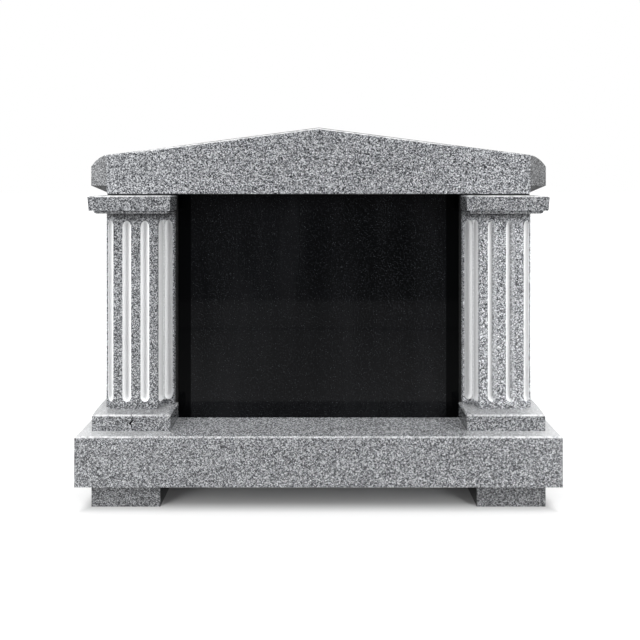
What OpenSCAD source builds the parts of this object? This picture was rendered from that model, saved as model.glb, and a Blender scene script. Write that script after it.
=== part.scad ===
// Granite headstone: a blank polished tablet held between two fluted pillars,
// on a plinth with two feet, under one low gabled cap stone.
// Millimetres, +Z up, the front faces -Y, origin at the bottom centre.

/* [Plinth] */
// Width of the plinth
plinth_w = 1466; // [1440:1:1600]
// Depth of the plinth
plinth_d = 312; // [290:1:360]
// Height of the plinth
plinth_h = 152; // [100:1:200]
// Width of one foot
foot_w = 211; // [160:1:240]
// Depth of one foot
foot_d = 242; // [200:1:280]
// Height of the feet, which is the lifting gap under the plinth
foot_h = 80; // [50:1:110]
// Distance from the middle of the headstone to the middle of a foot
foot_x = 591.5; // [520:0.5:600]

/* [Pillars] */
// Distance from the middle of the headstone to a pillar's axis
pillar_x = 575.5; // [560:0.5:590]
// Width of the square block under a pillar
base_w = 241; // [236:1:260]
// Depth of the block under a pillar
base_d = 242; // [230:1:280]
// Height of the block under a pillar
base_h = 49; // [35:1:70]
// How far the outer side of that block bows out
base_bow = 9.5; // [2:0.5:14]
// Height of a pillar's shaft
shaft_h = 618; // [450:1:750]
// Depth of a shaft across its front and back faces
shaft_d = 162; // [152:1:176]
// Distance from the axis to the inner edge of those faces
face_in = 68; // [65:0.5:71]
// Distance from the axis to the outer edge of those faces
face_out = 70; // [67:0.5:72]
// Distance from the axis to the inner side of a shaft
shaft_in = 110.5; // [108.5:0.5:113]
// Depth of a shaft at its inner side, behind the recessed corners
inner_d = 92; // [84:1:100]
// Distance from the axis to the bottom of a recessed corner
recess_x = 77.5; // [76.5:0.5:78.5]
// Distance from the axis to the outer side of a shaft
shaft_out = 97.5; // [96:0.5:104]
// Depth of a shaft at its outer side, behind the canted corners
outer_d = 138; // [130:1:144]
// Width of the capital's slab
capital_w = 252; // [244:1:270]
// Depth of the capital's slab
capital_d = 280; // [260:1:300]
// Thickness of the capital's slab
capital_h = 46; // [30:1:70]
// How far the sides of the slab lean in towards its underside
capital_lean = 2.7; // [0:0.1:5]
// Height of the rounded neck under the slab
neck_h = 10; // [6:1:16]
// How far the neck stands in from the slab
neck_inset = 13; // [8:1:16]

/* [Flutes] */
// Width of a flute on the front and back of a shaft
flute_w = 27.5; // [20:0.5:29]
// Distance between the two flutes on the front of a shaft
flute_pitch = 57; // [50:0.5:60]
// Width of the flutes in the recessed corners
corner_flute_w = 26; // [20:0.5:27]
// Width of the flute in a canted corner
outer_flute_w = 22; // [16:0.5:23]
// Height over which a flute runs out at its top
flute_crown = 21; // [13:1:40]
// Height over which a flute runs out at its foot
flute_toe = 16; // [13:1:30]
// Plain stone above all the flutes
flute_top = 25; // [15:1:60]
// Plain stone below the flutes of the faces and canted corners
flute_foot = 23; // [15:1:60]
// Plain stone below the flutes in the recessed corners
corner_flute_foot = 17; // [14:1:60]

/* [Tablet] */
// Thickness of the polished tablet
tablet_d = 66; // [50:1:80]
// How far the sealed joints stand back from the tablet's face
joint_recess = 3; // [1:0.5:6]

/* [Cap] */
// Length of the cap stone
cap_w = 1464; // [1440:1:1560]
// Depth of the cap stone
cap_d = 192; // [170:1:230]
// Height of the cap stone at its ridge
cap_h = 207; // [160:1:250]
// Height of the cap stone where its two slopes end
cap_eave_h = 121.5; // [110:0.5:140]
// Length of the tapered part at each end of the cap
cap_end_l = 71; // [50:1:90]
// How far the ends taper in at the front and at the back
cap_end_in = 50; // [20:1:60]
// Height of the under-cut at the ends
cap_end_rise = 25; // [10:1:40]
// How far each under-cut corner falls back below its lip
cap_lip_in = 20; // [8:1:30]
// Width of the bevel along the cap's top edges
cap_bevel = 5.5; // [3:0.5:10]
// Thickness of the bedding joint under the cap
bed_h = 5; // [3:0.5:10]
// How far the bedding joint stands back from the cap's face
bed_recess = 6; // [3:0.5:12]

/* [Edges] */
// Width of the bevel on the top edges of the blocks
arris = 4; // [1:0.5:8]

/* [Hidden] */
$fn = 48;
over = 1;
end_steps = 6;

granite = [0.56, 0.57, 0.585];
shaded_granite = [0.47, 0.48, 0.49];
polished_black = [0.09, 0.095, 0.10];
sealant = [0.22, 0.22, 0.23];

plinth_z = foot_h;
base_z = plinth_z + plinth_h;
shaft_z = base_z + base_h;
neck_z = shaft_z + shaft_h;
slab_z = neck_z + neck_h;
bed_z = slab_z + capital_h;
cap_z = bed_z + bed_h;

tablet_w = 2 * pillar_x - base_w;
joint_x = pillar_x - shaft_in;
housing_d = 136;

flute_r = flute_w / 2;
corner_flute_r = corner_flute_w / 2;
outer_flute_r = outer_flute_w / 2;
inner_edge = [-face_in, shaft_d / 2];
recess = [-recess_x, inner_d / 2];
outer_edge = [face_out, shaft_d / 2];
cant = [shaft_out, outer_d / 2] - outer_edge;
cheek_flute = inner_edge + 0.535 * (recess - inner_edge);
shoulder_flute = [corner_flute_r + 4.5 - shaft_in, inner_d / 2];
outer_flute = outer_edge + (outer_flute_r + 1) / norm(cant) * cant;

// Quarter turn of an arc about a centre, from angle a to angle b
function arc(centre, r, a, b, steps = 8) =
    [for (i = [0:steps]) centre + r * [cos(a + (b - a) * i / steps), sin(a + (b - a) * i / steps)]];

// Closed outline, alike at the front and the back, from the points of its back half
function front_and_back(back) =
    concat(back, [for (i = [len(back) - 1:-1:0]) [back[i][0], -back[i][1]]]);

// Copies its children to both sides of the plane x = 0
module both_sides() {
    children();
    mirror([1, 0, 0]) children();
}

// Solid that shows one outline from the front and another from the side
module crossed(front, side) {
    reach = 2 * plinth_w;
    intersection() {
        rotate([90, 0, 0]) linear_extrude(reach, center = true) polygon(front);
        rotate([90, 0, 90]) linear_extrude(reach, center = true) polygon(side);
    }
}

// Half widths and heights of a block, as an outline: w at the bottom, w_top at the bevel
function block_outline(w, w_top, h, bevel) =
    [[-w / 2, 0], [w / 2, 0], [w_top / 2, h - bevel], [w_top / 2 - bevel, h],
     [bevel - w_top / 2, h], [-w_top / 2, h - bevel]];

// Outline of a neck moulding: a plain band over a quarter round
function neck_outline(w, h) =
    let (r = h - 2)
    concat([for (p = arc([w / 2 - r, r], r, -90, 0)) p], [[w / 2, h], [-w / 2, h]],
           [for (p = arc([r - w / 2, r], r, 180, 270)) p]);

module block(w, d, h, bevel) {
    crossed(block_outline(w, w, h, bevel), block_outline(d, d, h, bevel));
}

module foot() {
    color(shaded_granite) translate([foot_x, 0, foot_h / 2]) cube([foot_w, foot_d, foot_h], center = true);
}

module plinth() {
    color(granite) translate([0, 0, plinth_z]) block(plinth_w, plinth_d, plinth_h, arris);
}

module pillar_base() {
    spare = 20;
    r = (base_d * base_d / 4 + base_bow * base_bow) / (2 * base_bow);
    color(granite) translate([pillar_x, 0, base_z]) intersection() {
        translate([spare / 2, 0, 0]) block(base_w + spare, base_d, base_h, arris);
        translate([base_w / 2 + base_bow - r, 0, 0]) rotate_extrude($fn = 360)
            polygon([[0, 0], [r, 0], [r, base_h - arris], [r - arris, base_h], [0, base_h]]);
    }
}

// Upright round groove that runs out at both ends, centred on the face that it is cut in
module flute(at, r, foot) {
    top = shaft_h - flute_top;
    turn = [for (i = [0:end_steps]) 90 * i / end_steps];
    toe = [for (a = turn) [r * sin(a), foot + flute_toe * (1 - cos(a))]];
    crown = [for (a = turn) [r * cos(a), top - flute_crown * (1 - sin(a))]];
    translate([at[0], at[1], 0]) rotate_extrude() polygon(concat(toe, crown));
}

// The flutes on the back of a shaft: two on the face, one in the canted corner
// and two in the recessed corner
module back_flutes() {
    both_sides() flute([flute_pitch / 2, shaft_d / 2], flute_r, flute_foot);
    flute(outer_flute, outer_flute_r, flute_foot);
    flute(cheek_flute, corner_flute_r, corner_flute_foot);
    flute(shoulder_flute, corner_flute_r, corner_flute_foot);
}

// Plan of a shaft: corners recessed on the side of the tablet, canted on the outer side
module shaft_plan() {
    polygon(front_and_back([[-shaft_in, inner_d / 2], recess, inner_edge,
                            outer_edge, outer_edge + cant]));
}

module pillar() {
    color(granite) translate([pillar_x, 0, shaft_z]) difference() {
        linear_extrude(shaft_h) shaft_plan();
        back_flutes();
        mirror([0, 1, 0]) back_flutes();
    }
}

// Neck and slab in one stone, cut back on the inner side to house the tablet's edge
module capital() {
    neck_w = capital_w - 2 * neck_inset;
    neck_d = capital_d - 2 * neck_inset;
    low_w = capital_w - 2 * capital_lean;
    low_d = capital_d - 2 * capital_lean;
    color(granite) difference() {
        translate([pillar_x, 0, 0]) union() {
            translate([0, 0, neck_z])
                crossed(neck_outline(neck_w, neck_h), neck_outline(neck_d, neck_h));
            translate([0, 0, slab_z])
                crossed(block_outline(low_w, capital_w, capital_h, arris),
                               block_outline(low_d, capital_d, capital_h, arris));
        }
        translate([joint_x - 100, -housing_d / 2, neck_z - over])
            cube([100, housing_d, bed_z - neck_z + 2 * over]);
    }
}

module tablet() {
    color(polished_black) translate([-tablet_w / 2, -tablet_d / 2, base_z])
        cube([tablet_w, tablet_d, bed_z - base_z]);
}

module tablet_joint() {
    d = tablet_d - 2 * joint_recess;
    color(sealant) translate([tablet_w / 2, -d / 2, shaft_z])
        cube([joint_x - tablet_w / 2, d, bed_z - shaft_z]);
}

// One bed of sealant, on both capitals and along the top of the tablet
module cap_bed() {
    pad_d = cap_d - 2 * bed_recess;
    color(sealant) union() {
        both_sides() translate([joint_x, -pad_d / 2, bed_z])
            cube([cap_w / 2 - cap_end_l - joint_x, pad_d, bed_h]);
        translate([-joint_x - over, joint_recess - tablet_d / 2, bed_z])
            cube([2 * (joint_x + over), tablet_d - 2 * joint_recess, bed_h]);
    }
}

// Front view of the cap: two slopes, ends rounded over, ends under-cut
module cap_outline() {
    slope = atan((cap_h - cap_eave_h) / (cap_w / 2 - cap_end_l));
    end_angle = 46;
    r = cap_end_l / (sin(end_angle) - sin(slope));
    centre = [cap_w / 2 - r * sin(end_angle), cap_eave_h - r * cos(slope)];
    half = concat([[0, 0], [cap_w / 2 - cap_end_l, 0], [cap_w / 2, cap_end_rise]],
                  arc(centre, r, 90 - end_angle, 90 - slope, 6), [[0, cap_h]]);
    polygon(half);
    mirror([1, 0]) polygon(half);
}

// The cap seen from above: straight sides that taper in at both ends
module cap_plan() {
    x = cap_w / 2;
    y = cap_d / 2;
    polygon(front_and_back([[-x, y - cap_end_in], [cap_end_l - x, y],
                            [x - cap_end_l, y], [x, y - cap_end_in]]));
}

// Wedge cut from below out of the tapered corner at the back of the right end
module corner_undercut() {
    taper = atan(cap_end_in / cap_end_l);
    slope = cap_lip_in / cap_end_rise;
    translate([cap_w / 2 - cap_end_l, cap_d / 2, 0]) intersection() {
        rotate([0, 0, -taper]) rotate([90, 0, 90]) linear_extrude(4 * cap_end_l, center = true)
            polygon([[over, cap_end_rise], [0, cap_end_rise], [-cap_lip_in - over * slope, -over],
                     [over, -over]]);
        translate([0, -cap_d, -2 * over]) cube([2 * cap_end_l, 2 * cap_d, cap_end_rise + 4 * over]);
    }
}

module cap_stone() {
    color(granite) translate([0, 0, cap_z]) difference() {
        intersection() {
            hull() {
                rotate([90, 0, 0]) linear_extrude(cap_d - 2 * cap_bevel, center = true) cap_outline();
                rotate([90, 0, 0]) linear_extrude(cap_d, center = true) intersection() {
                    cap_outline();
                    translate([0, -cap_bevel]) cap_outline();
                }
            }
            translate([0, 0, -over]) linear_extrude(cap_h + 2 * over) cap_plan();
        }
        both_sides() {
            corner_undercut();
            mirror([0, 1, 0]) corner_undercut();
        }
    }
}

module foot_right() { foot(); }
module foot_left() { mirror([1, 0, 0]) foot(); }
module pillar_base_right() { pillar_base(); }
module pillar_base_left() { mirror([1, 0, 0]) pillar_base(); }
module pillar_right() { pillar(); }
module pillar_left() { mirror([1, 0, 0]) pillar(); }
module capital_right() { capital(); }
module capital_left() { mirror([1, 0, 0]) capital(); }
module tablet_joint_right() { tablet_joint(); }
module tablet_joint_left() { mirror([1, 0, 0]) tablet_joint(); }

foot_left();
foot_right();
plinth();
pillar_base_left();
pillar_base_right();
pillar_left();
pillar_right();
capital_left();
capital_right();
tablet();
tablet_joint_left();
tablet_joint_right();
cap_bed();
cap_stone();
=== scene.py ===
"""Looks of the granite headstone: stone and joint materials, fluted shafts, studio and camera."""
import math
import random

import bmesh
import bpy
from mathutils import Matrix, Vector


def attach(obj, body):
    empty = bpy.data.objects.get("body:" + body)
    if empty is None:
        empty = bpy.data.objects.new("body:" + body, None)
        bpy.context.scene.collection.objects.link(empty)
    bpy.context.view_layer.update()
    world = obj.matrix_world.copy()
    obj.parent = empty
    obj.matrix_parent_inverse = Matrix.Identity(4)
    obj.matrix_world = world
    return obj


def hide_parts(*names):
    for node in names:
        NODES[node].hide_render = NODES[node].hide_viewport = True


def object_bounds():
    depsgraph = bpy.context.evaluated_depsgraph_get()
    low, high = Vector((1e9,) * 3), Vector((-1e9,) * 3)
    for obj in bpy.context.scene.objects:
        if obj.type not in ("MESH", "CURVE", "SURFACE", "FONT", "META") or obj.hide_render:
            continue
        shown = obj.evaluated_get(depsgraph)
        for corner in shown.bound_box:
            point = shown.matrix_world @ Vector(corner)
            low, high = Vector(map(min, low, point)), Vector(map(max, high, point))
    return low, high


MM = 0.001

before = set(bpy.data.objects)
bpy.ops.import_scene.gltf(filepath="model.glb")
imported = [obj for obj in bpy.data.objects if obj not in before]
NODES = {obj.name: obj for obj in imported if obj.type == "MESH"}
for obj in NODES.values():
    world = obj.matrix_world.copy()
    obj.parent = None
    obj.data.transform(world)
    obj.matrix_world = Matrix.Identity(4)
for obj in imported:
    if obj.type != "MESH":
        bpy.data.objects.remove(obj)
cad_low, cad_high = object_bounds()

# Sizes shared by the part, in millimetres
PILLAR_X, SHAFT_Z, SHAFT_H = 575.5, 281.0, 618.0
SHAFT_D, INNER_D, OUTER_D = 162.0, 92.0, 138.0
SHAFT_IN, RECESS_X, FACE_IN, FACE_OUT, SHAFT_OUT = 110.5, 77.5, 68.0, 70.0, 97.5
FLUTE_R, FLUTE_PITCH, CORNER_FLUTE_R, OUTER_FLUTE_R = 13.75, 57.0, 13.0, 11.0
FLUTE_TOP, FLUTE_FOOT, CORNER_FLUTE_FOOT = 25.0, 23.0, 17.0
FLUTE_CROWN, FLUTE_TOE, SHOULDER_INSET = 21.0, 16.0, 4.5
BASE_W, BASE_D, BASE_H, BASE_Z, BASE_BOW, ARRIS = 241.0, 242.0, 49.0, 232.0, 9.5, 4.0

# Where across the cheek its flute is, as a share of the cheek's width
CHEEK_SHARE = 0.535

# Height of the cap's ridge in metres, and how steeply its two slopes fall
RIDGE_Z, CAP_SLOPE = 1.167, 85.5 / 661.0

# How pale the worn recessed corners are, and how dark the painted shade on the cheeks is, from 0 to 1;
# the painted shade's reach in mm
CORNER_WEAR, CHEEK_SHADE, SHADE_REACH = 0.75, 0.55, 24.0

# Steps round a flute, rows along it, and rows where its ends run out
FLUTE_STEPS, FLUTE_ROWS, END_ROWS = 14, 110, 12

# How far the edges of a flute wander, and the radius from which they do, in millimetres
EDGE_SHAKE, SHAKEN_FROM = 0.25, 3

# The crack in the left block, in millimetres: its width and depth, and the bulge in the middle of it
CRACK_COLUMNS = (-0.5, -0.3, 0.0, 0.3, 0.5)
CRACK_WIDTH, CRACK_DEPTH, TOP_DEPTH = 2.5, 3.5, 12.0
BULGE_WIDTH, BULGE_DEPTH, BULGE_Z, BULGE_REACH = 5.5, 2.5, 25.0, 7.0
BASE_ROWS, BOW_STEPS = 30, 16

# Edges steeper than this many degrees stay sharp: more than a step round a flute, less than the cant
SHARP_FROM = 19

# Points closer than this are welded, and smaller faces are left out, in metres and square metres
WELD, SMALLEST_FACE = 1e-6, 1e-10

# Cells in a metre of the coarse and the fine grain, the share of the coarse, and the grain's colours
COARSE_GRAIN, FINE_GRAIN, COARSE_SHARE = 335.0, 640.0, 0.62
GRAINS = [
    (0.16, (0.010, 0.011, 0.013)), (0.31, (0.08, 0.083, 0.090)), (0.50, (0.25, 0.258, 0.275)),
    (0.69, (0.49, 0.502, 0.522)), (0.86, (0.88, 0.895, 0.92))]
PALEST = (0.985, 0.992, 1.0)
# Colours of the painted shade on the cheeks and in the crack, of the painted shadow under the neck and the
# darker foot of a shaft, and of the dark line along the cap's crest
RECESS_SHADE, SHAFT_END_DARK, CREST_DARK = (0.022, 0.022, 0.023), (0.03, 0.03, 0.031), (0.09, 0.09, 0.095)

# Half the width of the tablet's honed panel, from its edge in to where it is fully honed, in metres
PANEL_EDGE = (0.415, 0.4135)

# Floor: half its size in metres, its tone for the light and for the camera, and its extra brightness
# close to the stone and further out, each over a range of metres from the stone's outline
FLOOR_HALF, FLOOR_TONE, FLOOR_SEEN = 40.0, 0.36, 0.51
NEAR_LIFT, NEAR_RANGE = 0.57, (-0.06, 0.01)
FAR_LIFT, FAR_RANGE = 0.6, (0.0, 1.2)

# What polished stone mirrors on the floor: a sheet that ends in front, and a darker seam across it
SHEET_BEYOND, SHEET_EXTRA, SHEET_END = 0.27, 0.33, (-2.62, -2.58)
SEAM_DARK, SEAM_FRONT, SEAM_BACK = 0.4, (-1.825, -1.810), (-1.775, -1.790)

# Camera: distance from the plinth's front and height in metres, then sensor, lens and shift
CAMERA_AWAY, CAMERA_UP = 1.5, 0.9975
SENSOR, LENS, SHIFT_X, SHIFT_Y = 36.0, 28.125, 0.0023, -0.2161


# ---------------------------------------------------------------- node helpers

class Graph:
    """Short-hand for building a node tree; a value may be a number, a colour or a socket."""

    def __init__(self, tree):
        self.tree = tree
        tree.nodes.clear()

    def node(self, kind, inputs=(), **settings):
        made = self.tree.nodes.new(kind)
        for name, value in settings.items():
            setattr(made, name, value)
        for name, value in dict(inputs).items():
            self.feed(made.inputs[name], value)
        return made

    def feed(self, socket, value):
        if isinstance(value, bpy.types.NodeSocket):
            self.tree.links.new(value, socket)
        else:
            socket.default_value = value

    def math(self, operation, *values, clamp=False):
        made = self.tree.nodes.new("ShaderNodeMath")
        made.operation, made.use_clamp = operation, clamp
        for socket, value in zip(made.inputs, values):
            self.feed(socket, value)
        return made.outputs[0]

    def ramp(self, value, stops, interpolation="LINEAR"):
        made = self.node("ShaderNodeValToRGB", {"Fac": value})
        made.color_ramp.interpolation = interpolation
        points = made.color_ramp.elements
        while len(points) < len(stops):
            points.new(0.5)
        for point, (place, colour) in zip(points, stops):
            point.position = place
            point.color = (*colour, 1) if isinstance(colour, tuple) else (colour, colour, colour, 1)
        return made.outputs["Color"]

    def step(self, value, low, high):
        """Smooth rise from 0 at low to 1 at high."""
        made = self.node("ShaderNodeMapRange", {"Value": value, "From Min": low, "From Max": high},
                         interpolation_type="SMOOTHSTEP")
        return made.outputs["Result"]

    def mix(self, factor, a, b, blend="MIX"):
        made = self.node("ShaderNodeMix", data_type="RGBA", blend_type=blend)
        for socket, value in ((made.inputs[0], factor), (made.inputs[6], a), (made.inputs[7], b)):
            self.feed(socket, (*value, 1) if isinstance(value, tuple) and len(value) == 3 else value)
        return made.outputs[2]

    def noise(self, place, scale, detail=2.0, roughness=0.5):
        return self.node("ShaderNodeTexNoise", {"Vector": place, "Scale": scale, "Detail": detail,
                                                "Roughness": roughness}).outputs["Fac"]

    def cells(self, place, scale, **settings):
        return self.node("ShaderNodeTexVoronoi", {"Vector": place, "Scale": scale}, **settings)

    def place(self):
        return self.node("ShaderNodeTexCoord").outputs["Object"]

    def normal(self):
        """The three parts of the surface's direction, in the part's own frame."""
        return self.parts(self.node("ShaderNodeTexCoord").outputs["Normal"])

    def product(self, *values):
        total = values[0]
        for value in values[1:]:
            total = self.math("MULTIPLY", total, value)
        return total

    def absolute(self, value):
        return self.math("ABSOLUTE", value)

    def parts(self, vector):
        made = self.node("ShaderNodeSeparateXYZ", {"Vector": vector})
        return made.outputs["X"], made.outputs["Y"], made.outputs["Z"]

    def attribute(self, name):
        return self.node("ShaderNodeAttribute", attribute_name=name).outputs["Fac"]


def material(name):
    """New material and the graph that fills it."""
    made = bpy.data.materials.new(name)
    made.use_nodes = True
    return made, Graph(made.node_tree)


def finish_surface(g, bump_height=None, bump_mm=0.0, **sockets):
    """Ends a graph in one principled surface, with a bump where a height is given."""
    surface = g.node("ShaderNodeBsdfPrincipled")
    for name, value in sockets.items():
        g.feed(surface.inputs[name.replace("_", " ")], value)
    if bump_height is not None:
        bump = g.node("ShaderNodeBump", {"Height": bump_height, "Distance": bump_mm * MM, "Strength": 1.0})
        g.feed(surface.inputs["Normal"], bump.outputs["Normal"])
    g.node("ShaderNodeOutputMaterial", {"Surface": surface.outputs["BSDF"]})


# ------------------------------------------------------------------- materials

def arris_wear_and_highlight(g, place, cap):
    """How pale the top edges' bevels are, with wear and a painted highlight, broken up where less worn."""
    x, y, z = g.normal()
    bevel = g.product(g.step(z, 0.42, 0.58), g.step(z, 0.93, 0.84))
    across = g.absolute(y)
    along = g.parts(place)[0]
    if cap:
        worn = g.step(g.absolute(g.math("ADD", along, 0.08)), 0.54, 0.40)
        # On the cap, a painted highlight up the rounded edge between the front and the right-hand cant
        corner = g.product(g.step(across, 0.84, 0.88), g.step(across, 0.99, 0.97), g.step(along, 0.64, 0.65))
    else:
        across = g.math("MAXIMUM", across, g.absolute(x))
        worn = g.math("MULTIPLY_ADD", g.step(g.absolute(along), 0.44, 0.66), 0.54, 0.36)
    pale = g.product(bevel, worn, g.step(across, 0.45, 0.6))
    if cap:
        pale = g.math("MAXIMUM", pale, g.math("MULTIPLY", corner, 0.7))
    chips = g.math("MULTIPLY_ADD", g.step(g.noise(place, 60.0, 3.0), 0.38, 0.55), 0.55, 0.45)
    forward = g.math("MULTIPLY_ADD", g.step(g.absolute(x), 0.6, 0.4), 0.5, 0.5)
    return g.product(pale, chips, forward)


def painted_top_glare(g, place):
    """Tops are only steeled; a painted reflection makes them pale: hardly in the middle, more at the ends.
    """
    along = g.absolute(g.parts(place)[0])
    along = g.math("MULTIPLY_ADD", g.noise(place, 30.0, 3.0), 0.06, g.math("SUBTRACT", along, 0.03))
    pale = g.math("MULTIPLY_ADD", g.step(along, 0.58, 0.72), 0.42, 0.30)
    pale = g.math("MAXIMUM", g.math("MULTIPLY", pale, g.step(along, 0.41, 0.48)), 0.09)
    return g.math("MULTIPLY", g.step(g.normal()[2], 0.96, 0.99), pale)


def painted_cap_shade(g):
    """Painted shade of the cap: cants darker than its front, its ends less so, its under-cuts most."""
    x, _, z = g.normal()
    cant = g.math("MULTIPLY_ADD", g.step(g.absolute(x), 0.99, 0.95), 0.7, 0.3)
    upright = g.math("MULTIPLY", g.step(g.absolute(z), 0.3, 0.1), cant)
    right = g.product(g.step(x, 0.4, 0.5), upright, 0.66)
    left = g.product(g.step(x, -0.4, -0.5), upright, 0.38)
    under = g.math("MULTIPLY", g.step(z, -0.3, -0.45), g.step(g.absolute(x), 0.25, 0.35))
    return g.math("SUBTRACT", 1.0, g.math("MULTIPLY_ADD", under, 0.84, g.math("ADD", left, right)))


def painted_inner_shade(g, place):
    """Painted shade where a side faces the middle of the headstone, out of the light."""
    sign = g.math("SIGN", g.parts(place)[0])
    return g.step(g.math("MULTIPLY", sign, g.normal()[0]), -0.75, -0.9)


def crest(g, place):
    """Dark line along the top of the bevel, where it meets the two slopes of the cap."""
    x, _, z = g.parts(place)
    line = g.math("SUBTRACT", RIDGE_Z, g.math("MULTIPLY", g.absolute(x), CAP_SLOPE))
    edge = g.step(g.math("SUBTRACT", z, line), -0.0022, -0.0014)
    bevel = g.step(g.normal()[2], 0.988, 0.975)
    return g.product(edge, bevel, g.step(g.absolute(x), 0.56, 0.30), 0.85)


def neck_shadow_and_dark_foot(g, place):
    """Painted shadow under the neck of the capital, and darker at the very foot of the shaft."""
    z = g.parts(place)[2]
    neck = g.math("MULTIPLY", g.step(z, 0.872, 0.896), 0.6)
    foot = g.math("MULTIPLY", g.step(z, 0.304, 0.288), g.step(z, 0.2805, 0.2815))
    return g.math("MULTIPLY_ADD", foot, 0.25, neck)


def ground_flutes(g, place, painted_wall_shade):
    """Where flutes are ground; left-facing walls in the right face flutes less so, as painted shade."""
    left_facing = g.step(g.normal()[0], -0.1, -0.5)
    off_axis = g.absolute(g.math("SUBTRACT", g.parts(place)[0], PILLAR_X * MM))
    less = g.product(left_facing, g.step(off_axis, 0.066, 0.062), painted_wall_shade)
    return g.math("MULTIPLY", g.attribute("ground"), g.math("SUBTRACT", 1.0, less))


def grains(g, place):
    """The stone's grain in two sizes mixed, and a second random value of the fine grain."""
    coarse = g.node("ShaderNodeSeparateColor", {"Color": g.cells(place, COARSE_GRAIN).outputs["Color"]})
    fine = g.node("ShaderNodeSeparateColor", {"Color": g.cells(place, FINE_GRAIN).outputs["Color"]})
    small = g.math("MULTIPLY", fine.outputs[0], 1 - COARSE_SHARE)
    return g.math("MULTIPLY_ADD", coarse.outputs[0], COARSE_SHARE, small), fine.outputs[1]


def ground_colour(g, place, speckle, tone):
    """Pale colour of ground and worn stone, with streaks that run up and down."""
    stretched = g.node("ShaderNodeVectorMath", {0: place, 1: (1.0, 1.0, 0.03)}, operation="MULTIPLY")
    streak = g.noise(stretched.outputs["Vector"], 260.0, 3.0)
    pale = g.math("MULTIPLY_ADD", streak, 0.16, tone - 0.08)
    pale = g.math("MULTIPLY_ADD", speckle, 0.08, pale)
    return g.ramp(pale, [(0.0, 0.0), (1.0, PALEST)])


def granite(name, tone=1.0, ground_tone=0.80, cap=False, cut=False, painted_wall_shade=0.0, inner=0.0, top_glare=1.0):
    """Grey granite of fine light and dark grains; ground flutes are pale, and arrises with wear and
    a painted highlight.

    cap is for the cap stone, with painted shade on its cants and under-cuts and a dark crest line;
    cut for a mesh that carries ground and painted shade marks. One share grinds some flute walls
    less, as painted shade; inner paints shade on the sides that face the middle, and the last
    share sets how strong the painted reflection that makes the tops pale is."""
    made, g = material(name)
    place = g.place()
    grain, speckle = grains(g, place)
    drift = g.ramp(g.noise(place, 7.0, 3.0), [(0.3, 0.93 * tone), (0.7, 1.07 * tone)])
    colour = g.mix(1.0, g.ramp(grain, GRAINS), drift, "MULTIPLY")
    # Arrises pale with wear and a painted highlight
    ground = arris_wear_and_highlight(g, place, cap)
    if cap:
        # Painted shade on the cap's cants, ends and under-cuts
        colour = g.mix(1.0, colour, painted_cap_shade(g), "MULTIPLY")
    else:
        # Painted reflection that makes the tops pale
        ground = g.math("MAXIMUM", ground, g.math("MULTIPLY", painted_top_glare(g, place), top_glare))
    if inner:
        # Painted shade on the sides that face the middle
        lit = g.math("SUBTRACT", 1.0, g.math("MULTIPLY", painted_inner_shade(g, place), inner))
        colour = g.mix(1.0, colour, lit, "MULTIPLY")
    if cut:
        # Some flute walls are ground less, as painted shade
        ground = g.math("MAXIMUM", ground, ground_flutes(g, place, painted_wall_shade))
    colour = g.mix(ground, colour, ground_colour(g, place, speckle, ground_tone))
    if cut:
        # Painted shade on the marked faces, in the cheeks and the crack; painted shadow under the neck and a
        # darker foot of the shaft
        colour = g.mix(g.attribute("painted_shade"), colour, RECESS_SHADE)
        colour = g.mix(neck_shadow_and_dark_foot(g, place), colour, SHAFT_END_DARK)
    if cap:
        # Dark line along the cap's crest
        colour = g.mix(crest(g, place), colour, CREST_DARK)
    rough = g.math("MULTIPLY_ADD", ground, 0.55, 0.16)
    finish_surface(g, grain, 0.04, Base_Color=colour, Roughness=rough, Specular_IOR_Level=0.9)
    return made


def black_granite():
    """Black granite with pale sparkles; a finely honed panel between two mirror-polished margins."""
    made, g = material("polished_black_granite")
    place = g.place()
    panel = g.step(g.absolute(g.parts(place)[0]), *PANEL_EDGE)
    specks = g.cells(place, 330.0)
    near = g.step(specks.outputs["Distance"], 0.42, 0.16)
    chance = g.node("ShaderNodeSeparateColor", {"Color": specks.outputs["Color"]})
    rare = g.ramp(chance.outputs[0], [(0.45, 0.0), (0.93, 0.4), (1.0, 1.0)])
    spark = g.product(near, rare, panel)
    upright = g.node("ShaderNodeVectorMath", {0: place, 1: (1.0, 1.0, 0.2)}, operation="MULTIPLY")
    smear = g.noise(upright.outputs["Vector"], 9.0, 4.0)
    cloud = g.ramp(smear, [(0.35, (0.0016, 0.0019, 0.0024)), (0.65, (0.0060, 0.0065, 0.0074))])
    colour = g.mix(panel, (0.0012, 0.0014, 0.0016), cloud)
    colour = g.mix(spark, colour, (0.075, 0.08, 0.087))
    tint = g.mix(panel, (0.3, 0.3, 0.3), (1.0, 1.0, 1.0))
    finish_surface(g, Base_Color=colour, Roughness=0.06, Specular_IOR_Level=0.2, Specular_Tint=tint)
    return made


def sealant():
    """Dark, slightly mottled mastic of the joints."""
    made, g = material("sealant")
    place = g.place()
    mottle = g.noise(place, 90.0, 4.0, 0.6)
    colour = g.ramp(mottle, [(0.3, 0.014), (0.7, 0.030)])
    finish_surface(g, mottle, 0.3, Base_Color=colour, Roughness=0.7)
    return made


# ---------------------------------------------------------------------- pieces

def ring_faces(points, count, ground, painted_shade, ends):
    """Quads between neighbouring rings, how ground each one is and how much painted shade it has."""
    faces, marks = [], []
    for low in range(len(points) // count - 1):
        plain = ends and (low < ends[0] or low >= ends[1])
        for i in range(count):
            j = (i + 1) % count
            quad = [low * count + i, low * count + j, (low + 1) * count + j, (low + 1) * count + i]
            a, b, c, d = (Vector(points[k]) for k in quad)
            if (c - a).cross(d - b).length > SMALLEST_FACE:
                faces.append(quad)
                marks.append((ground[i] if ground and not plain else 0.0, painted_shade[i] if painted_shade else 0.0))
    return faces, marks


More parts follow.
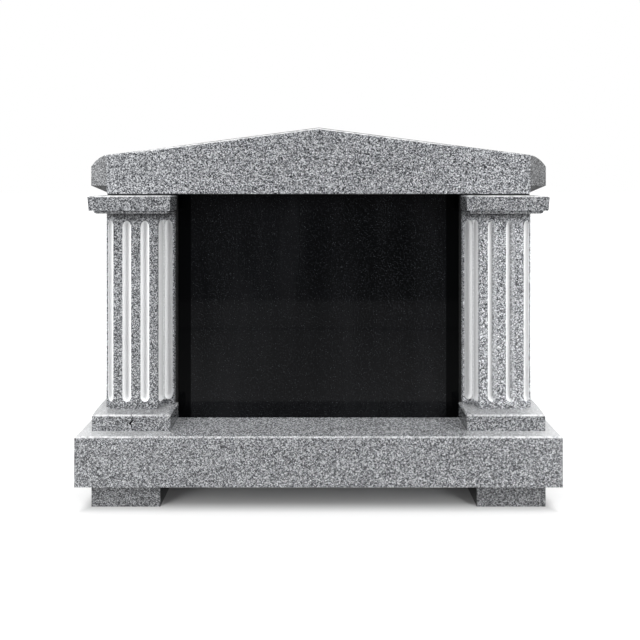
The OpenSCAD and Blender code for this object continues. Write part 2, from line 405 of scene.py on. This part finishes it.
def weld_and_smooth(mesh):
    """Closes the mesh and shades it smooth, except across sharp edges."""
    weld = bmesh.new()
    weld.from_mesh(mesh)
    bmesh.ops.remove_doubles(weld, verts=weld.verts, dist=WELD)
    bmesh.ops.recalc_face_normals(weld, faces=weld.faces)
    weld.to_mesh(mesh)
    weld.free()
    mesh.polygons.foreach_set("use_smooth", [True] * len(mesh.polygons))
    mesh.set_sharp_from_angle(angle=math.radians(SHARP_FROM))


def loft(name, rings, ground=None, painted_shade=None, ends=None):
    """Closed mesh through rings of points; ground and painted shade mark its faces column by column.

    Rows below the first of ends and from the second up stay unground."""
    count = len(rings[0])
    points = [p for ring in rings for p in ring]
    faces, marks = ring_faces(points, count, ground, painted_shade, ends)
    faces.append(list(range(count))[::-1])
    faces.append([(len(rings) - 1) * count + i for i in range(count)])
    marks += [(0.0, 0.0)] * 2
    mesh = bpy.data.meshes.new(name)
    mesh.from_pydata(points, [], faces)
    for label, column in (("ground", 0), ("painted_shade", 1)):
        layer = mesh.attributes.new(label, "FLOAT", "FACE")
        layer.data.foreach_set("value", [mark[column] for mark in marks])
    weld_and_smooth(mesh)
    piece = bpy.data.objects.new(name, mesh)
    bpy.context.collection.objects.link(piece)
    return piece


def place_piece(piece, node, stone):
    """Gives a piece its stone, hangs it under the root, and hides the node it stands for."""
    piece.data.materials.append(stone)
    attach(piece, "root")
    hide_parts(node)


def flute_radius(z, radius, foot):
    """Radius of a flute at a height above the shaft's foot; its two ends run out to nothing."""
    low, high = foot, SHAFT_H - FLUTE_TOP
    if z <= low or z >= high:
        return 0.0
    rise = min(1.0, (z - low) / FLUTE_TOE)
    fall = min(1.0, (high - z) / FLUTE_CROWN)
    return radius * math.sqrt(1 - (1 - rise) ** 2) * math.sqrt(1 - (1 - fall) ** 2)


def shaft_heights():
    """Rows of a shaft: even along it, close together where the flutes run out."""
    rows = {0.0, SHAFT_H}
    top = SHAFT_H - FLUTE_TOP
    for i in range(END_ROWS + 1):
        turn = math.pi / 2 * i / END_ROWS
        rows.add(top - FLUTE_CROWN * (1 - math.sin(turn)))
        for foot in (FLUTE_FOOT, CORNER_FLUTE_FOOT):
            rows.add(foot + FLUTE_TOE * (1 - math.cos(turn)))
    low, high = FLUTE_FOOT + FLUTE_TOE, top - FLUTE_CROWN
    rows |= {low + (high - low) * i / FLUTE_ROWS for i in range(FLUTE_ROWS + 1)}
    return sorted(rows)


def shaft_walls():
    """Plan of a shaft as straight walls, each with the flutes cut in it: (start, end, flutes).

    x points away from the tablet; the inner corners are recessed and the outer ones canted."""
    front, outer, inner = SHAFT_D / 2, OUTER_D / 2, INNER_D / 2
    cheek = math.hypot(RECESS_X - FACE_IN, front - inner)
    corner = (CORNER_FLUTE_R, CORNER_FLUTE_FOOT)
    half = [
        ((-SHAFT_IN, -inner), (-RECESS_X, -inner), [(CORNER_FLUTE_R + SHOULDER_INSET, *corner)]),
        ((-RECESS_X, -inner), (-FACE_IN, -front), [((1 - CHEEK_SHARE) * cheek, *corner)]),
        ((-FACE_IN, -front), (FACE_OUT, -front), [(FACE_IN - FLUTE_PITCH / 2, FLUTE_R, FLUTE_FOOT),
                                                  (FACE_IN + FLUTE_PITCH / 2, FLUTE_R, FLUTE_FOOT)]),
        ((FACE_OUT, -front), (SHAFT_OUT, -outer), [(OUTER_FLUTE_R + 1, OUTER_FLUTE_R, FLUTE_FOOT)]),
    ]
    back = []
    for (x0, y0), (x1, y1), cuts in reversed(half):
        length = math.hypot(x1 - x0, y1 - y0)
        back.append(((x1, -y1), (x0, -y0), [(length - at, r, foot) for at, r, foot in reversed(cuts)]))
    return (half + [((SHAFT_OUT, -outer), (SHAFT_OUT, outer), [])]
            + back + [((-SHAFT_IN, inner), (-SHAFT_IN, -inner), [])])


def wall_points(wall, z, shake):
    """Points along one wall at one height, how ground the span after each is and its painted shade."""
    (x0, y0), (x1, y1), cuts = wall
    length = math.hypot(x1 - x0, y1 - y0)
    recess = (-RECESS_X, INNER_D / 2)
    lead = CORNER_WEAR if (x0, abs(y0)) == recess else 0.0
    trail = CORNER_WEAR if (x1, abs(y1)) == recess else 0.0
    ux, uy = (x1 - x0) / length, (y1 - y0) / length
    nx, ny = -uy, ux
    points, marks = [(x0, y0)], [lead]
    for at, radius, foot in cuts:
        r = flute_radius(z, radius, foot)
        for i in range(FLUTE_STEPS + 1):
            angle = math.pi * i / FLUTE_STEPS
            at_edge = i in (0, FLUTE_STEPS)
            worn = shake.uniform(-EDGE_SHAKE, EDGE_SHAKE) if at_edge and r > SHAKEN_FROM else 0.0
            along, deep = at - r * math.cos(angle) + worn, r * math.sin(angle)
            points.append((x0 + ux * along + nx * deep, y0 + uy * along + ny * deep))
            marks.append(1.0 if i < FLUTE_STEPS else trail)
    cheek = {x0, x1} == {-RECESS_X, -FACE_IN}
    # Painted shade on the cheeks of the recess, darkest just behind the front face
    painted_shade = [cheek * CHEEK_SHADE * max(0.0, 1 - (SHAFT_D / 2 - abs(y)) / SHADE_REACH) for _, y in points]
    return points, marks, painted_shade


def shaft(side, stone):
    """Fluted shaft on one side, -1 for left and 1 for right; its flutes' edges wander a little."""
    name = "pillar_left" if side < 0 else "pillar_right"
    shake = random.Random(11 if side < 0 else 12)
    walls = shaft_walls()
    heights = shaft_heights()
    rings = []
    for z in heights:
        ring, ground, painted_shade = [], [], []
        for wall in walls:
            points, marks, cheek_shade = wall_points(wall, z, shake)
            ring += [(side * (PILLAR_X + x) * MM, y * MM, (SHAFT_Z + z) * MM) for x, y in points]
            ground += marks
            painted_shade += cheek_shade
        rings.append(ring)
    ends = (heights.index(CORNER_FLUTE_FOOT), heights.index(SHAFT_H - FLUTE_TOP))
    piece = loft("shaft_left" if side < 0 else "shaft_right", rings, ground, painted_shade, ends)
    place_piece(piece, name, stone)


def bow_x(y):
    """Distance from the pillar's axis to the bowed outer side of its base."""
    radius = (BASE_D * BASE_D / 4 + BASE_BOW * BASE_BOW) / (2 * BASE_BOW)
    return BASE_W / 2 + BASE_BOW - radius + math.sqrt(radius * radius - y * y)


def cracked_base(stone):
    """Block under the left pillar, with the crack down the middle of its front."""
    shake = random.Random(5)
    rings = []
    heights = [BASE_H * i / BASE_ROWS for i in range(BASE_ROWS - 2)] + [BASE_H - ARRIS, BASE_H]
    for z in heights:
        wander = 1.0 + 2.6 * math.sin(z / 5.2 + 0.6) + 1.4 * math.sin(z / 2.1) + shake.uniform(-0.7, 0.7)
        inset = ARRIS if z >= BASE_H else 0.0
        x, y = BASE_W / 2 - inset, BASE_D / 2 - inset
        bulge = math.exp(-((z - BULGE_Z) / BULGE_REACH) ** 2)
        width = CRACK_WIDTH + BULGE_WIDTH * bulge + shake.uniform(-0.6, 0.6)
        depth = TOP_DEPTH if z >= BASE_H - ARRIS else CRACK_DEPTH + BULGE_DEPTH * bulge
        ring = [(wander + width * at, -y + depth * (1 - abs(at) * 2) ** 0.6) for at in CRACK_COLUMNS]
        ring += [(x, -y), (x, y)]
        side = [y - 2 * y * i / BOW_STEPS for i in range(BOW_STEPS + 1)]
        ring += [(-bow_x(along) + inset, along) for along in side]
        rings.append([((px - PILLAR_X) * MM, py * MM, (BASE_Z + z) * MM) for px, py in ring])
    cracked_faces = len(CRACK_COLUMNS) - 1
    # Painted shade fills the faces inside the crack
    painted_shade = [1.0] * cracked_faces + [0.0] * (len(rings[0]) - cracked_faces)
    piece = loft("base_left_cracked", rings, None, painted_shade)
    place_piece(piece, "pillar_base_left", stone)


def soften(node, width):
    """Slightly rounded edges on a sawn block."""
    bevel = node.modifiers.new("arris", "BEVEL")
    bevel.width, bevel.segments = width * MM, 2
    bevel.limit_method, bevel.angle_limit = "ANGLE", math.radians(25)


# ---------------------------------------------------------------------- studio

def studio_floor():
    """White floor that keeps the stone's shadow; polished stone mirrors a light sheet on it."""
    mesh = bpy.data.meshes.new("floor")
    signs = ((-1, -1), (1, -1), (1, 1), (-1, 1))
    corners = [(FLOOR_HALF * across, FLOOR_HALF * deep, 0) for across, deep in signs]
    mesh.from_pydata(corners, [], [(0, 1, 2, 3)])
    floor = bpy.data.objects.new("floor", mesh)
    bpy.context.collection.objects.link(floor)
    made, g = material("studio_floor")
    x, y, _ = g.parts(g.place())
    path = g.node("ShaderNodeLightPath")
    away = g.math("MAXIMUM", g.math("SUBTRACT", g.absolute(x), cad_high.x),
                  g.math("SUBTRACT", g.absolute(y), cad_high.y))
    # Painted shade: to the camera the floor glows brighter outwards from the stone's outline and not under
    # it, deepening the shade under and beside the stone.
    lift = g.math("ADD", g.math("MULTIPLY", g.step(away, *NEAR_RANGE), NEAR_LIFT),
                  g.math("MULTIPLY", g.step(away, *FAR_RANGE), FAR_LIFT))
    sheet = g.math("MULTIPLY_ADD", g.step(y, *SHEET_END), SHEET_EXTRA, SHEET_BEYOND)
    seam = g.product(g.step(y, *SEAM_FRONT), g.step(y, *SEAM_BACK), SEAM_DARK)
    sheet = g.math("SUBTRACT", sheet, seam)
    tone = g.mix(path.outputs["Is Camera Ray"], (FLOOR_TONE,) * 3, (FLOOR_SEEN,) * 3)
    tone = g.mix(path.outputs["Is Glossy Ray"], tone, g.mix(sheet, (0, 0, 0), (1, 1, 1)))
    diffuse = g.node("ShaderNodeBsdfDiffuse", {"Color": tone})
    lift = g.math("MULTIPLY", path.outputs["Is Camera Ray"], lift)
    glow = g.node("ShaderNodeEmission", {"Color": (1, 1, 1, 1), "Strength": lift})
    both = g.node("ShaderNodeAddShader")
    g.feed(both.inputs[0], diffuse.outputs[0])
    g.feed(both.inputs[1], glow.outputs[0])
    g.node("ShaderNodeOutputMaterial", {"Surface": both.outputs[0]})
    mesh.materials.append(made)


def studio_world():
    """Even light from behind and above, a darker room in front, white to the camera."""
    world = bpy.data.worlds.new("studio")
    bpy.context.scene.world = world
    world.use_nodes = True
    g = Graph(world.node_tree)
    _, y, z = g.parts(g.node("ShaderNodeTexCoord").outputs["Generated"])
    path = g.node("ShaderNodeLightPath")
    toward_viewer = g.step(g.math("MULTIPLY", y, -1.0), 0.1, 0.6)
    fill = g.mix(toward_viewer, (0.62, 0.62, 0.62), (0.12, 0.12, 0.12))
    fill = g.mix(g.step(z, 0.0, 0.35), (0.14, 0.14, 0.14), fill)
    mirrored = g.mix(toward_viewer, (1.0, 1.0, 1.0), (0.06, 0.06, 0.06))
    seen = g.mix(path.outputs["Is Glossy Ray"], fill, mirrored)
    seen = g.mix(path.outputs["Is Camera Ray"], seen, (1.0, 1.0, 1.0))
    back = g.node("ShaderNodeBackground", {"Color": seen, "Strength": 1.0})
    g.node("ShaderNodeOutputWorld", {"Surface": back.outputs[0]})


def soft_box(name, place, aim, width, height, watts, spread=180):
    """Rectangular lamp that the camera doesn't see; spread is the full angle of its beam."""
    data = bpy.data.lights.new(name, "AREA")
    data.spread = math.radians(spread)
    data.shape, data.size, data.size_y, data.energy = "RECTANGLE", width, height, watts
    lamp = bpy.data.objects.new(name, data)
    lamp.location = place
    lamp.rotation_euler = (Vector(aim) - Vector(place)).to_track_quat("-Z", "Y").to_euler()
    lamp.visible_camera = False
    bpy.context.collection.objects.link(lamp)


def camera():
    """Level camera straight in front, shifted down to the stone."""
    data = bpy.data.cameras.new("camera")
    data.sensor_width, data.lens = SENSOR, LENS
    data.shift_x, data.shift_y = SHIFT_X, SHIFT_Y
    made = bpy.data.objects.new("camera", data)
    made.location = (0.0, cad_low.y - CAMERA_AWAY, CAMERA_UP)
    made.rotation_euler = (math.radians(90), 0, 0)
    bpy.context.collection.objects.link(made)
    bpy.context.scene.camera = made


# ------------------------------------------------------------------- the scene

# Painted light: each piece's tone also carries how the light falls on it, so the feet, shaded under the
# plinth, are darkest and the right shaft is paler than the left; inner adds painted shade on the sides that
# face the middle.
grey = granite("grey_granite", tone=0.99)
cap_grey = granite("cap_granite", tone=1.05, cap=True)
foot_grey = granite("foot_granite", tone=0.66, inner=0.97)
base_grey = granite("base_granite", tone=0.80, inner=0.5, top_glare=0.82)
left_stone = granite("left_fluted_granite", tone=0.90, ground_tone=0.90, cut=True)
right_stone = granite("right_fluted_granite", tone=1.28, ground_tone=0.90, cut=True, painted_wall_shade=0.8)
cracked = granite("cracked_granite", tone=0.82, cut=True, inner=0.5, top_glare=0.76)
capital_grey = granite("capital_granite", tone=0.88, inner=0.6)
joint = sealant()

STONE = {
    "foot_left": foot_grey, "foot_right": foot_grey, "plinth": grey, "pillar_base_left": cracked,
    "pillar_base_right": base_grey, "pillar_left": left_stone, "pillar_right": right_stone,
    "capital_left": capital_grey, "capital_right": capital_grey, "cap_stone": cap_grey,
    "tablet": black_granite(),
}
for name, node in NODES.items():
    node.data.materials.clear()
    node.data.materials.append(STONE.get(name, joint))
for name in ("plinth", "pillar_base_right", "capital_left", "capital_right", "foot_left", "foot_right"):
    soften(NODES[name], 1.0)
soften(NODES["cap_stone"], 2.0)

shaft(-1, left_stone)
shaft(1, right_stone)
cracked_base(cracked)

studio_floor()
studio_world()
soft_box("left_box", (-2.2, -1.5, 1.4), aim=(-0.6, 0, 0.6), width=0.9, height=1.8, watts=11.5, spread=80)
soft_box("right_box", (2.2, -1.5, 1.4), aim=(0.6, 0, 0.6), width=0.9, height=1.8, watts=11, spread=80)
soft_box("top_box", (0, -1.2, 3.2), aim=(0, 0, 0.5), width=3.0, height=2.0, watts=27)
soft_box("back_box", (0, 2.2, 1.9), aim=(0, 0, 0.3), width=4.0, height=1.6, watts=24)
camera()
bpy.context.scene.view_settings.view_transform = "Standard"
